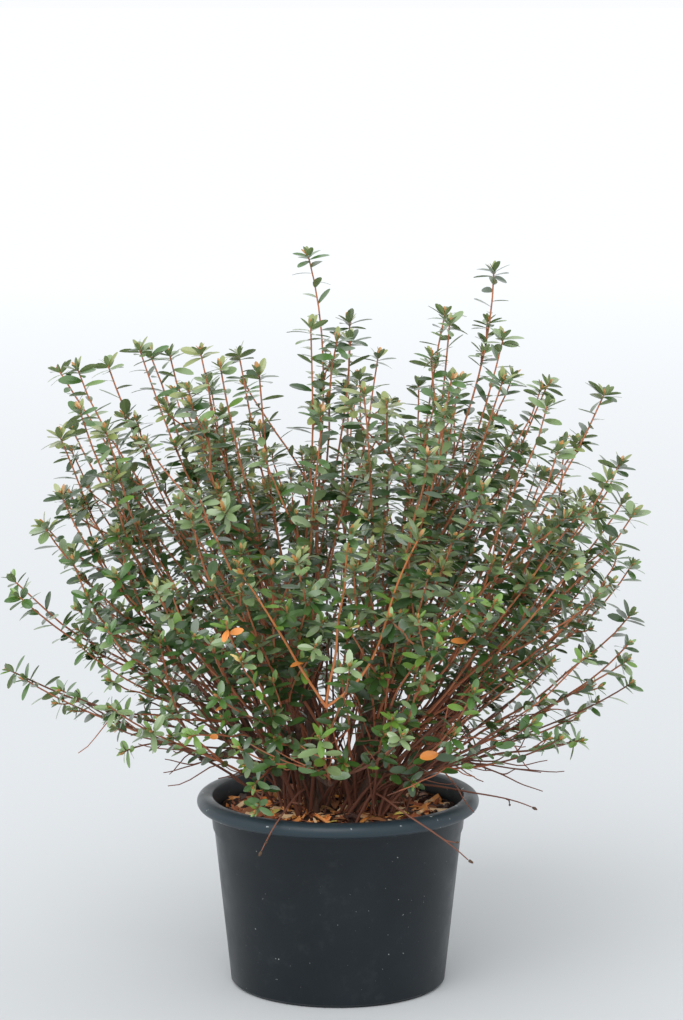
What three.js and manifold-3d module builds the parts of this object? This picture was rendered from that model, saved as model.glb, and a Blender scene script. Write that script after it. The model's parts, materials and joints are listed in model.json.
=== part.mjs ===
// Azalea shrub growing in a round black nursery pot.
//
// Units are millimetres, +Z is up. The origin is the centre of the pot's flat underside and the
// shrub's front faces -Y. Eight stems stand on the soil in one clump and each forks into boughs.
// A bough ends where it enters its foliage mass, which carries on from the bough's tip as a stem
// that forks into shoots with leaves. The masses share the crown out between them as cones that
// meet at the foot of the clump, so that no mass reaches into another.
import * as THREE from "three";
import { mergeVertices } from "three/addons/utils/BufferGeometryUtils.js";
import Module from "manifold-3d";

// ---- driving dimensions -------------------------------------------------------------------
const POT = {
  height: 170,
  footRadius: 95,
  rimRadius: 113, // outside of the wall, carried up to the rim
  wall: 2.5,
  floor: 4,
  lipRadius: 125, // outside of the rolled lip
  lipHeight: 13,
  sides: 32,
};
const SOIL_LEVEL = POT.height - 12;
const CLEAR = 0.3; // gap between neighbouring solids

const STEM = { sides: 7, steps: 4, footRadius: 5.2, tipRadius: 3.9, flare: 2.6 };
const BOUGH = { sides: 5, steps: 4, footRadius: 3.7, tipRadius: 2.3 };
const TWIG = { sides: 3, steps: 3, footRadius: 2.4, tipRadius: 1.4 }; // a mass's own stem
const SHOOT = { sides: 3, steps: 2, radius: 1.3, footShare: 0.5, shortest: 24 };
const LEAF = { length: 54, width: 25, thickness: 1.6, widest: 0.56, thickest: 0.34, cup: 2.2 };
const LEAF_ROOT_SUNK = 0.4;
const ENTRY = 0.43; // where a bough enters its mass, as a share of the mass's reach
const TIPS_PER_MASS = 5;
const TIP_SPACING = 62;
const TIP_INSET = 18; // a shoot ends this far inside the crown's reach, which its leaves make up
const LOWEST_TIP = SOIL_LEVEL + 76;
const FORKS = [0.12, 0.26, 0.4, 0.54, 0.68]; // where a shoot may leave its parent, as shares
const ROSETTE = { leaves: 5, step: 5, lowSpread: 72, topSpread: 34 };
const CROWN = { lowReach: 265, shoulderReach: 435, lowRise: 15, shoulderRise: 58, depthLoss: 0.12 };
const NOTCH = { left: -78, right: -14, top: SOIL_LEVEL + 330 }; // dip between the crown's halves

// Stems: azimuth from +X, distance of the foot from the pot's axis, lean from upright, height.
const STEMS = [
  { azimuth: 352, foot: 44, lean: 40, height: 46 },
  { azimuth: 52, foot: 34, lean: 26, height: 62 },
  { azimuth: 112, foot: 36, lean: 24, height: 58 },
  { azimuth: 176, foot: 42, lean: 30, height: 60 },
  { azimuth: 236, foot: 38, lean: 22, height: 50 },
  { azimuth: 300, foot: 36, lean: 30, height: 48 },
  { azimuth: 25, foot: 12, lean: 12, height: 84 },
  { azimuth: 205, foot: 14, lean: 10, height: 92 },
];

// Masses: the stem that carries each, and the rosettes that end its longest shoots, as
// [azimuth from +X, rise above level, reach], seen from the foot of the clump.
const MASSES = [
  { name: "right_low", stem: 0, leaders: [[355, 24, 284], [338, 19, 240], [358, 34, 312]] },
  { name: "back_right_low", stem: 1, leaders: [[44, 26, 296]] },
  { name: "back_low", stem: 2, leaders: [[90, 27, 262]] },
  { name: "back_left_low", stem: 2, leaders: [[136, 25, 300]] },
  { name: "left_low", stem: 3, leaders: [[178, 22, 302]] },
  { name: "front_left_low", stem: 4, leaders: [[222, 26, 285]] },
  { name: "front_low", stem: 4, leaders: [[266, 27, 240]] },
  { name: "front_right_low", stem: 5, leaders: [[312, 25, 270]] },
  { name: "right", stem: 0, leaders: [[18, 44, 378]] },
  { name: "back_right", stem: 1, leaders: [[66, 50, 396]] },
  { name: "back_left", stem: 2, leaders: [[112, 50, 396]] },
  { name: "left_back", stem: 3, leaders: [[160, 52, 415]] },
  { name: "left_front", stem: 3, leaders: [[197, 45, 374], [189, 35, 345], [212, 54, 384]] },
  { name: "front_left", stem: 4, leaders: [[246, 49, 300]] },
  { name: "front_right", stem: 5, leaders: [[291, 49, 318], [274, 52, 312]] },
  { name: "right_front", stem: 5, leaders: [[338, 51, 396], [350, 58, 442]] },
  { name: "upper_right", stem: 6, leaders: [[18, 73, 496], [8, 64, 414], [345, 77, 446]] },
  { name: "upper_back", stem: 6, leaders: [[86, 70, 446]] },
  { name: "upper_left", stem: 7, leaders: [[163, 61, 444], [168, 67, 436]] },
  { name: "upper_front_left", stem: 7, leaders: [[215, 73, 420]] },
  { name: "upper_front_right", stem: 6, leaders: [[312, 70, 420]] },
  { name: "top", stem: 7, leaders: [[140, 86, 491], [60, 87, 416]] },
];

// Bare twigs that hang out over the pot's lip: the stem each springs from, its azimuth, and how
// far out and how high its tip is.
const BARE_TWIGS = [
  { stem: 0, azimuth: 347, reach: 174, height: 166 },
  { stem: 5, azimuth: 316, reach: 155, height: 136 },
  { stem: 4, azimuth: 243, reach: 143, height: 149 },
];
const BARE_TWIG = { sides: 4, steps: 8, footRadius: 1.7, tipRadius: 0.9 };
const CREST = { radius: 121, height: POT.height + 8 }; // where they pass over the lip

// ---- three.js and manifold-3d helpers -----------------------------------------------------
const wasm = await Module();
wasm.setup();

const UP = new THREE.Vector3(0, 0, 1);
const CROWN_FOOT = new THREE.Vector3(0, 0, SOIL_LEVEL);

function seededRandom(seed) {
  let state = seed;
  return () => {
    state = (state * 16807) % 2147483647;
    return state / 2147483647;
  };
}

function direction(azimuth, rise) {
  const a = THREE.MathUtils.degToRad(azimuth);
  const e = THREE.MathUtils.degToRad(rise);
  return new THREE.Vector3(Math.cos(a) * Math.cos(e), Math.sin(a) * Math.cos(e), Math.sin(e));
}

const along = (point, heading, distance) => point.clone().addScaledVector(heading, distance);
const between = (a, b, share) => a.clone().lerp(b, share);

// A closed geometry as a manifold-3d solid, without the slivers a pole or a fold leaves.
function solidOf(geometry) {
  const loose = geometry.index ? geometry.toNonIndexed() : geometry;
  const bare = new THREE.BufferGeometry();
  bare.setAttribute("position", loose.getAttribute("position"));
  const merged = mergeVertices(bare, 1e-4);
  const corners = merged.index.array;
  const kept = [];
  for (let i = 0; i < corners.length; i += 3) {
    const [a, b, c] = corners.slice(i, i + 3);
    if (a !== b && b !== c && c !== a) kept.push(a, b, c);
  }
  return new wasm.Manifold(
    new wasm.Mesh({
      numProp: 3,
      vertProperties: merged.getAttribute("position").array,
      triVerts: new Uint32Array(kept),
    }),
  );
}

const joined = (solids) => solids.reduce((sum, solid) => sum.add(solid));

function largestPiece(solid) {
  const pieces = solid.decompose();
  return pieces.reduce((best, piece) => (piece.volume() > best.volume() ? piece : best));
}

function meshOf(name, solid, material) {
  const { vertProperties, triVerts } = solid.getMesh();
  const indexed = new THREE.BufferGeometry();
  indexed.setAttribute("position", new THREE.BufferAttribute(vertProperties, 3));
  indexed.setIndex(new THREE.BufferAttribute(triVerts, 1));
  const geometry = indexed.toNonIndexed();
  geometry.computeVertexNormals();
  const mesh = new THREE.Mesh(geometry, material);
  mesh.name = name;
  return mesh;
}

// A tapering limb: a cylinder whose rings are carried along a curve. grow widens it all round.
function limbGeometry(curve, { sides, steps, radiusAt }, grow = 0) {
  const geometry = new THREE.CylinderGeometry(1, 1, 1, sides, steps);
  const frames = curve.computeFrenetFrames(steps);
  const position = geometry.getAttribute("position");
  for (let i = 0; i < position.count; i++) {
    const step = Math.round((position.getY(i) + 0.5) * steps);
    const radius = radiusAt(step / steps) + grow;
    const point = curve.getPointAt(step / steps);
    point.addScaledVector(frames.binormals[step], position.getX(i) * radius);
    point.addScaledVector(frames.normals[step], position.getZ(i) * radius);
    if (step === 0) point.addScaledVector(frames.tangents[0], -grow);
    if (step === steps) point.addScaledVector(frames.tangents[steps], grow);
    position.setXYZ(i, point.x, point.y, point.z);
  }
  return geometry;
}

// A limb that tapers evenly from foot to tip.
const tapered = ({ sides, steps, footRadius, tipRadius }) => ({
  sides,
  steps,
  radiusAt: (share) => footRadius + (tipRadius - footRadius) * share,
});

// A curve that leaves one point along a heading and arrives at another along a second heading.
function sweep(from, heading, to, arrival) {
  const span = from.distanceTo(to) * 0.36;
  return new THREE.CubicBezierCurve3(from, along(from, heading, span), along(to, arrival, -span), to);
}

// The same curve as a chain of straight lengths, so that what grows on it starts on its facets.
// A short first length keeps the end square to the curve.
function faceted(curve, steps) {
  const [start, ...corners] = curve.getSpacedPoints(steps);
  const chain = new THREE.CurvePath();
  let from = start;
  for (const to of [along(start, curve.getTangent(0), 0.5), ...corners]) {
    chain.add(new THREE.LineCurve3(from, to));
    from = to;
  }
  return chain;
}

// ---- pot and soil -------------------------------------------------------------------------
const wallRadius = (height) =>
  POT.footRadius + ((POT.rimRadius - POT.footRadius) * height) / POT.height;

function turned(profile) {
  const geometry = new THREE.LatheGeometry(profile, POT.sides);
  return solidOf(geometry.rotateX(Math.PI / 2));
}

function potSolid() {
  const half = POT.lipHeight / 2;
  const roll = { radius: POT.lipRadius - half, height: POT.height - half };
  const profile = [
    new THREE.Vector2(0, 0),
    new THREE.Vector2(POT.footRadius - 3, 0),
    new THREE.Vector2(wallRadius(3), 3),
    new THREE.Vector2(wallRadius(POT.height - POT.lipHeight), POT.height - POT.lipHeight),
  ];
  for (let degrees = -90; degrees <= 90; degrees += 45) {
    const angle = THREE.MathUtils.degToRad(degrees);
    profile.push(
      new THREE.Vector2(roll.radius + half * Math.cos(angle), roll.height + half * Math.sin(angle)),
    );
  }
  profile.push(
    new THREE.Vector2(POT.rimRadius, POT.height),
    new THREE.Vector2(POT.rimRadius - POT.wall, POT.height - 2),
    new THREE.Vector2(wallRadius(POT.floor) - POT.wall, POT.floor),
    new THREE.Vector2(0, POT.floor),
  );
  return turned(profile);
}

function soilSolid() {
  const inside = (height) => wallRadius(height) - POT.wall - CLEAR;
  const bottom = POT.floor + CLEAR;
  return turned([
    new THREE.Vector2(0, bottom),
    new THREE.Vector2(inside(bottom), bottom),
    new THREE.Vector2(inside(SOIL_LEVEL - 4), SOIL_LEVEL - 4),
    new THREE.Vector2(86, SOIL_LEVEL - 1.5),
    new THREE.Vector2(66, SOIL_LEVEL),
    new THREE.Vector2(0, SOIL_LEVEL),
  ]);
}

// ---- stems and boughs ---------------------------------------------------------------------
// Everything below the level where the stems stand, cut away from each for its flat foot.
const ground = solidOf(
  new THREE.BoxGeometry(400, 400, 60).translate(0, 0, SOIL_LEVEL + CLEAR - 30),
);

const limbs = []; // every limb so far, widened by the clearance

// Adds a limb that is trimmed clear of the ones before it.
function addLimb(curve, shape) {
  let solid = solidOf(limbGeometry(curve, shape)).subtract(ground);
  for (const earlier of limbs) solid = solid.subtract(earlier);
  limbs.push(solidOf(limbGeometry(curve, shape, CLEAR)));
  return largestPiece(solid);
}

function stemPath({ azimuth, foot, lean, height }) {
  const footPoint = along(CROWN_FOOT, direction(azimuth, 0), foot);
  const heading = direction(azimuth, 90 - lean);
  const below = along(footPoint, direction(azimuth, 90 - lean * 0.4), -8);
  return sweep(below, UP, along(footPoint, heading, height), heading);
}

const stemShape = {
  sides: STEM.sides,
  steps: STEM.steps,
  radiusAt: (share) =>
    STEM.footRadius + (STEM.tipRadius - STEM.footRadius) * share + STEM.flare * Math.exp(-7 * share),
};

function boughPath(mass) {
  const stem = stemPath(STEMS[mass.stem]);
  const tip = stem.getPointAt(1);
  const leaving = between(stem.getTangentAt(1), mass.heading, 0.45).normalize();
  return sweep(along(tip, stem.getTangentAt(1), -2), leaving, mass.entry, mass.heading);
}

function bareTwigPath({ stem, azimuth, reach, height }) {
  const outward = direction(azimuth, 0);
  const start = stemPath(STEMS[stem]).getPointAt(0.6);
  const crest = outward.clone().multiplyScalar(CREST.radius).setZ(CREST.height);
  const tip = outward.clone().multiplyScalar(reach).setZ(height);
  return new THREE.CatmullRomCurve3([start, crest, tip]);
}

// ---- foliage ------------------------------------------------------------------------------
for (const mass of MASSES) {
  const [azimuth, rise, reach] = mass.leaders[0];
  mass.axis = direction(azimuth, rise);
  mass.entry = along(CROWN_FOOT, direction(azimuth, rise - 3), reach * ENTRY);
  mass.heading = direction(azimuth, rise + 4);
}

// True if every point lies in the mass's own cone, clear of its neighbours.
function inOwnSpace(mass, points, margin) {
  return points.every((point) => {
    const arm = point.clone().sub(CROWN_FOOT);
    return MASSES.every((other) => {
      if (other === mass) return true;
      const apart = mass.axis.clone().sub(other.axis);
      return arm.dot(apart) > margin * apart.length();
    });
  });
}

function pointsOf(geometry) {
  const position = geometry.getAttribute("position");
  return Array.from({ length: position.count }, (_, i) =>
    new THREE.Vector3().fromBufferAttribute(position, i),
  );
}

// How far the crown's body reaches from the foot of the clump in a direction.
function crownReach(heading) {
  const rise = THREE.MathUtils.radToDeg(Math.asin(heading.z));
  const share = THREE.MathUtils.smoothstep(rise, CROWN.lowRise, CROWN.shoulderRise);
  const reach = THREE.MathUtils.lerp(CROWN.lowReach, CROWN.shoulderReach, share);
  return reach * (1 - CROWN.depthLoss * heading.y * heading.y);
}

const inNotch = (point) =>
  point.x > NOTCH.left && point.x < NOTCH.right && point.z > NOTCH.top;

// Where the mass's shoots end: its leaders, then seeded places in its cone, well apart.
function tipsOf(mass, random) {
  const tips = mass.leaders.map(([azimuth, rise, reach]) =>
    along(CROWN_FOOT, direction(azimuth, rise), reach - TIP_INSET),
  );
  for (let attempt = 0; attempt < 400 && tips.length < TIPS_PER_MASS; attempt++) {
    const scatter = new THREE.Vector3(random() - 0.5, random() - 0.5, random() - 0.5);
    const heading = mass.axis.clone().addScaledVector(scatter, 0.9).normalize();
    const reach = crownReach(heading) * (0.72 + 0.26 * random()) - TIP_INSET;
    const tip = along(CROWN_FOOT, heading, reach);
    const clear = tips.every((other) => other.distanceTo(tip) > TIP_SPACING);
    const placed = clear && tip.z > LOWEST_TIP && !inNotch(tip);
    if (placed && inOwnSpace(mass, [tip], 9)) tips.push(tip);
  }
  return tips;
}

// The path of a twig from a point on its parent to a tip. It turns off from the heading it
// starts with, and turns upwards as it grows.
function twigPath(start, heading, tip, turn, steps) {
  const chord = tip.clone().sub(start).normalize();
  const leaving = between(heading, chord, turn).normalize();
  return faceted(sweep(start, leaving, tip, between(chord, UP, 0.45).normalize()), steps);
}

// The branching rule. The mass's own stem runs to its first tip. Each further tip, near ones
// first, gets a shoot from the place on an earlier twig that makes the shortest, straightest way.
function branched(mass, tips) {
  const start = along(mass.entry, mass.heading, CLEAR + 0.02);
  const stem = { path: twigPath(start, mass.heading, tips[0], 0, TWIG.steps), ...tapered(TWIG) };
  const twigs = [stem];
  const further = tips.slice(1).sort((a, b) => a.distanceTo(start) - b.distanceTo(start));
  for (const tip of further) {
    let best = { cost: Infinity };
    for (const { path, radiusAt } of twigs) {
      for (const share of FORKS) {
        const point = path.getPointAt(share);
        const heading = path.getTangentAt(share);
        const chord = tip.clone().sub(point);
        const straight = chord.clone().normalize().dot(heading);
        const cost = chord.length() * (1.7 - 0.7 * straight) + 0.3 * point.distanceTo(start);
        if (cost < best.cost) best = { cost, point, heading, radius: radiusAt(share) };
      }
    }
    if (best.point.distanceTo(tip) < SHOOT.shortest) continue;
    const path = twigPath(best.point, best.heading, tip, 0.5, SHOOT.steps);
    const foot = best.radius * SHOOT.footShare; // slim enough to lie wholly inside its parent
    const radiusAt = (share) => (share === 0 ? foot : SHOOT.radius);
    twigs.push({ path, sides: SHOOT.sides, steps: SHOOT.steps, radiusAt });
  }
  return twigs;
}

// A leaf of six faces, its root at the origin, its length along +Y and its upper face up +Z. It
// is an octahedron whose lowest corner is drawn to the root, so that the midrib is its keel.
function leafGeometry(size) {
  const geometry = new THREE.OctahedronGeometry(1, 0);
  const position = geometry.getAttribute("position");
  for (let i = 0; i < position.count; i++) {
    const [side, lengthwise, upward] = [position.getX(i), position.getY(i), position.getZ(i)];
    let place = new THREE.Vector3(0, lengthwise > 0 ? LEAF.length : 0, 0);
    if (side !== 0) place.set((side * LEAF.width) / 2, LEAF.length * LEAF.widest, LEAF.cup);
    if (upward > 0) place.set(0, LEAF.length * LEAF.thickest, LEAF.thickness);
    position.setXYZ(i, ...place.multiplyScalar(size));
  }
  return geometry;
}

// The leaf set on its shoot: its root a little past the shoot's centre, its upper face inwards.
function leafOn(shoot, share, angle, spread, size) {
  const point = shoot.getPointAt(share);
  const heading = shoot.getTangentAt(share);
  const side = new THREE.Vector3(heading.z, heading.x, heading.y).cross(heading).normalize();
  const outward = side.applyAxisAngle(heading, angle);
  const lean = THREE.MathUtils.degToRad(spread);
  const axis = outward.clone().multiplyScalar(Math.sin(lean));
  axis.addScaledVector(heading, Math.cos(lean));
  const face = heading.clone().multiplyScalar(Math.sin(lean));
  face.addScaledVector(outward, -Math.cos(lean));
  const across = axis.clone().cross(face);
  const place = new THREE.Matrix4().makeBasis(across, axis, face);
  place.setPosition(along(point, axis, -LEAF_ROOT_SUNK));
  return leafGeometry(size).applyMatrix4(place);
}

// Leaves of one shoot: a spiral that is spaced out below and closes to a rosette at the tip.
// A leaf that doesn't fit is tried a little further round, and then left out.
function leavesOf(shoot, random, fits) {
  const golden = THREE.MathUtils.degToRad(137.5);
  const turn = random() * Math.PI * 2;
  const length = shoot.getLength();
  const step = Math.min(ROSETTE.step, (0.6 * length) / ROSETTE.leaves);
  const rosetteFoot = length - 2 - (ROSETTE.leaves - 1) * step;
  const leaves = [];
  const tryLeaf = (distance, angle, spread, size) => {
    for (const further of [0, 0.6, -0.6, 1.2]) {
      const leaf = leafOn(shoot, distance / length, angle + further, spread, size);
      if (!fits(leaf, leaves)) continue;
      leaves.push(solidOf(leaf));
      return;
    }
  };
  for (let i = 0; i < ROSETTE.leaves; i++) {
    const opening = i / (ROSETTE.leaves - 1);
    const spread = THREE.MathUtils.lerp(ROSETTE.lowSpread, ROSETTE.topSpread, opening);
    const size = 1.05 - 0.2 * random();
    tryLeaf(rosetteFoot + i * step, turn + i * golden, spread, size);
  }
  return leaves;
}

// One mass: its twigs and their leaves, fused. What would leave the mass's space, touch a limb
// or cross a leaf is left out.
function massSolid(mass, seed, allLimbs) {
  const random = seededRandom(seed);
  const inPlace = (geometry) =>
    inOwnSpace(mass, pointsOf(geometry), 0.5 * CLEAR) &&
    solidOf(geometry).intersect(allLimbs).isEmpty();
  const pieces = [];
  for (const twig of branched(mass, tipsOf(mass, random))) {
    const stalk = limbGeometry(twig.path, twig);
    if (!inPlace(stalk)) continue;
    const fits = (leaf, nearby) =>
      inPlace(leaf) &&
      [...pieces, ...nearby].every((piece) => solidOf(leaf).intersect(piece).isEmpty());
    pieces.push(...leavesOf(twig.path, random, fits), solidOf(stalk));
  }
  return largestPiece(joined(pieces));
}

// ---- the shrub ----------------------------------------------------------------------------
const material = (color, roughness) =>
  new THREE.MeshStandardMaterial({ color, roughness, metalness: 0 });
const FINISH = {
  pot: material(0x22272b, 0.5),
  soil: material(0x4a2e1c, 0.95),
  bark: material(0x4e3026, 0.85),
  twig: material(0x8d4a30, 0.7),
  foliage: material(0x3f6144, 0.55),
};

const shrub = new THREE.Group();
shrub.add(meshOf("pot", potSolid(), FINISH.pot));
shrub.add(meshOf("soil", soilSolid(), FINISH.soil));

STEMS.forEach((stem, i) => {
  shrub.add(meshOf(`stem_${i + 1}`, addLimb(stemPath(stem), stemShape), FINISH.bark));
});
for (const mass of MASSES) {
  shrub.add(meshOf(`bough_${mass.name}`, addLimb(boughPath(mass), tapered(BOUGH)), FINISH.bark));
}
BARE_TWIGS.forEach((twig, i) => {
  const solid = addLimb(bareTwigPath(twig), tapered(BARE_TWIG));
  shrub.add(meshOf(`bare_twig_${i + 1}`, solid, FINISH.twig));
});

const allLimbs = joined(limbs);
MASSES.forEach((mass, i) => {
  shrub.add(meshOf(`foliage_${mass.name}`, massSolid(mass, 101 + 37 * i, allLimbs), FINISH.foliage));
});

export default shrub;
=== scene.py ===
# Azalea shrub growing in a round black nursery pot.
#
# Metres, +Z up, with the origin at the centre of the pot's underside and the shrub's front
# towards -Y. Stems, boughs and foliage masses stand where the solids stand. A mass's twigs grow
# on from its bough by the solids' own branching rule, carried on to many finer shoots.
import json
import math
import random
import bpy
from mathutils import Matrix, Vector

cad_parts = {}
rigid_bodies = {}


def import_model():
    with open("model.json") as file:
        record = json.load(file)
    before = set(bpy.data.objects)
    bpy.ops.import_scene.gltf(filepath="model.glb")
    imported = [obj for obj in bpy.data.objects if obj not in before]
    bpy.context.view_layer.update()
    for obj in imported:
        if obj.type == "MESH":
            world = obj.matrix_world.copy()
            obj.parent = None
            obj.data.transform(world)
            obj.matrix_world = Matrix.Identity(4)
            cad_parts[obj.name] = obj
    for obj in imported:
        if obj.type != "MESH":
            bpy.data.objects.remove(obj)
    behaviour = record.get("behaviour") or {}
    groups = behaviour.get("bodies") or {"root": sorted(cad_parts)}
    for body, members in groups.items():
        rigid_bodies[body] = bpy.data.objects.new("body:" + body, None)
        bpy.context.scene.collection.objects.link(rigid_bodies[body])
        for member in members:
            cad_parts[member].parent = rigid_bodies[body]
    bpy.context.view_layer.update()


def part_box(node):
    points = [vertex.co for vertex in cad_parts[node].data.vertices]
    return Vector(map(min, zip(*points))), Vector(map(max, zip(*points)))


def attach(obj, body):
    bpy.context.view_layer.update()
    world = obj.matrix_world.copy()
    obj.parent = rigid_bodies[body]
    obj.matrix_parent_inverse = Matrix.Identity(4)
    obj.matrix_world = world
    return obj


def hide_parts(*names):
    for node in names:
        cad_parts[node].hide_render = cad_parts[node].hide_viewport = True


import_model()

from types import SimpleNamespace as Record

import bmesh
import bpy
import numpy as np
from mathutils import Quaternion, Vector, noise

noise.seed_set(7)  # the same noise on each run

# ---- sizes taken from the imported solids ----
POT_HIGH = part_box("pot")[1]
SOIL_LOW, SOIL_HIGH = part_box("soil")
SOIL_LEVEL = SOIL_HIGH.z

# ---- driving dimensions of the shrub, as in the solids ----
STEM = Record(radii=(0.0052, 0.0039), flare=0.0026, flare_fades=7, buried=0.008, foot_lean=0.4,
              steps=40)
BOUGH = Record(radii=(0.0037, 0.0023), sunk=0.002, turn=0.45, steps=44)
# Where a bough enters its mass, as a share of the mass's reach. It is a little lower there
# than the mass's longest shoot and heads a little more steeply, in degrees.
ENTRY = Record(share=0.43, lower=3, steeper=4)
CROWN = Record(reach=(0.265, 0.435), low_rise=15, shoulder_rise=58)
DEPTH_LOSS = 0.12  # the share by which the crown reaches less far to the front and back
# The dip between the crown's halves, for the solids' shoots and for the finer growth.
NOTCH = Record(left=-0.078, right=-0.014, top=SOIL_LEVEL + 0.33)
FINE_NOTCH = Record(left=-0.078, right=0.006, top=SOIL_LEVEL + 0.272)
TIP_INSET = 0.018  # a shoot ends this far inside the crown's reach, which its leaves make up
LOWEST_TIP = SOIL_LEVEL + 0.076
FORKS = (0.12, 0.26, 0.4, 0.54, 0.68)  # where a shoot may leave its parent, as shares

# Stems: azimuth from +X, distance of the foot from the pot's axis, lean from upright, height.
STEMS = (
    (352, 0.044, 40, 0.046),
    (52, 0.034, 26, 0.062),
    (112, 0.036, 24, 0.058),
    (176, 0.042, 30, 0.060),
    (236, 0.038, 22, 0.050),
    (300, 0.036, 30, 0.048),
    (25, 0.012, 12, 0.084),
    (205, 0.014, 10, 0.092),
)

# Masses: the stem that carries each, how full of fine shoots it is, and the ends of the longest
# shoots in its solid and of its further long ones, as azimuth from +X, rise above level, and
# reach from the foot of the clump.
MASSES = {
    "right_low": (0, 0.7, ((355, 24, 0.284), (338, 19, 0.24), (358, 34, 0.312)),
        ((355, 28, 0.29),)),
    "back_right_low": (1, 1.4, ((44, 26, 0.296),), ()),
    "back_low": (2, 2.9, ((90, 27, 0.262),), ()),
    "back_left_low": (2, 1.6, ((136, 25, 0.3),), ()),
    "left_low": (3, 1, ((178, 22, 0.302),), ((176, 22, 0.318),)),
    "front_left_low": (4, 1, ((222, 26, 0.285),), ()),
    "front_low": (4, 0.7, ((266, 27, 0.24),), ()),
    "front_right_low": (5, 0.85, ((312, 25, 0.27),), ()),
    "right": (0, 1.35, ((18, 44, 0.378),), ((2, 51, 0.395), (0, 40, 0.34))),
    "back_right": (1, 2.1, ((66, 50, 0.396),), ()),
    "back_left": (2, 2.0, ((112, 50, 0.396),), ()),
    "left_back": (3, 0.85, ((160, 52, 0.415),), ()),
    "left_front": (3, 0.85, ((197, 45, 0.374), (189, 35, 0.345), (212, 54, 0.384)),
        ((194, 54, 0.42), (202, 57, 0.435), (211, 57, 0.42), (203, 49, 0.39), (184, 36, 0.355))),
    "front_left": (4, 1.25, ((246, 49, 0.3),), ((232, 55, 0.345),)),
    "front_right": (5, 1.05, ((291, 49, 0.318), (274, 52, 0.312)), ()),
    "right_front": (5, 1.4, ((338, 51, 0.396), (350, 58, 0.442)),
        ((347, 63, 0.41), (329, 57, 0.4), (349, 46, 0.375), (330, 50, 0.37))),
    "upper_right": (6, 1, ((18, 73, 0.496), (8, 64, 0.414), (345, 77, 0.446)),
        ((0, 78, 0.45), (356, 71, 0.445), (12, 63, 0.42))),
    "upper_back": (6, 0.6, ((86, 70, 0.446),), ()),
    "upper_left": (7, 0.85, ((163, 61, 0.444), (168, 67, 0.436)),
        ((171, 57, 0.46), (185, 60, 0.455), (180, 67, 0.445), (159, 68, 0.43))),
    "upper_front_left": (7, 0.7, ((215, 73, 0.42),),
        ((199, 73, 0.43), (222, 77, 0.405), (215, 68, 0.415), (263, 72, 0.385))),
    "upper_front_right": (6, 0.65, ((312, 70, 0.42),),
        ((280, 72, 0.405), (325, 72, 0.41), (305, 67, 0.4), (334, 68, 0.42))),
    "top": (7, 0.35, ((140, 86, 0.491), (60, 87, 0.416)),
        ((161, 77, 0.412), (239, 84, 0.435), (268, 87, 0.42), (0, 85, 0.405))),
}

# Bare twigs over the lip: the stem each springs from, azimuth, and its tip's reach and height.
BARE_TWIGS = ((0, 347, 0.174, 0.166), (5, 316, 0.155, 0.136), (4, 243, 0.143, 0.149))
CREST_TURNS = (4, -16, 3)  # from the tip's azimuth to the place where a bare twig meets the lip
CREST = Record(radius=0.121, height=POT_HIGH.z + 0.004)
BARE = Record(start=0.6, rising=0.2, falling=0.15, radii=(0.0012, 0.0005), thin=0.6,
              spurs=(0.35, 0.8), spur_length=(0.009, 0.016), spur_radii=(0.0008, 0.0004))

# ---- the finer growth ----
COARSE_TIPS = Record(spacing=0.062, nearest=0.72, span=0.26, margin=0.009, notch=NOTCH)
FINE_TIPS = Record(spacing=0.0215, nearest=0.46, span=0.45, margin=0.003, notch=FINE_NOTCH)
COARSE_COUNT = 5
SCATTER = 0.9  # how far tips are tried to the sides of a mass's axis
TRIES = 1500
SHADE = Record(low=SOIL_LEVEL + 0.07, high=SOIL_LEVEL + 0.22)  # growth is thinner down there
FINE_COUNT = (4, 34)  # shoots of a mass in the shade and in the light
TIP_REGAIN = 0.015  # the leaves are shorter than the solids' ones, so the shoots go on further
SHORTEST_SHOOT = 0.026
SWEEP = Record(pull=0.36, marks=25)  # how long a curve keeps the headings of its two ends
WAVER = Record(bend=0.009, kink=0.004)  # shares of a twig's length
SHOOT = Record(tip=0.0007, foot=0.0009, long_foot=0.0013, pipe=0.18, bright=0.4, warm=0.45,
               turn=0.5, upturn=(0.10, 0.27))
# Shoots straight from the clump.
BASAL = Record(share=0.22, spread=0.012, sunk=0.008, upright=(0.25, 0.65), upturn=0.18,
               foot=0.0013, strength=(0.7, 1.4))
# How strongly a new shoot shuns a sharp turn off its parent, and a place far up the mass.
COST = Record(turn=8, far_up=0.7, far_up_long=1.1)
# Leafless side twigs in the shade.
SPUR = Record(foot=0.0007, length=(0.018, 0.060), count=3, start=(0.08, 0.6), parent=0.12,
              light=0.3, turn=0.55, upturn=0.2)
# Short leafy shoots, this far back from a long shoot's tip.
SIDE = Record(back=(0.065, 0.10, 0.14), shift=(0.8, 1.3), share=0.6, farthest=0.8, turn=0.25,
              length=(0.012, 0.024))
# Heights below which its wood is painted darker as shade, and lengths from a shoot's tip beyond
# which its wood is older.
WOOD = Record(dark_below=SOIL_LEVEL + 0.045, old_below=SOIL_LEVEL + 0.11,
              ripe_below=SOIL_LEVEL + 0.17, old_from=0.30, ripe_from=0.21, dull_from=0.15)
LEAF_FORMS = ((0.10, 0.13, 0.42), (0.22, 0.09, 0.38), (0.03, 0.18, 0.46))  # arch, fold, width
LEAF_THICKNESS = 0.012
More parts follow.
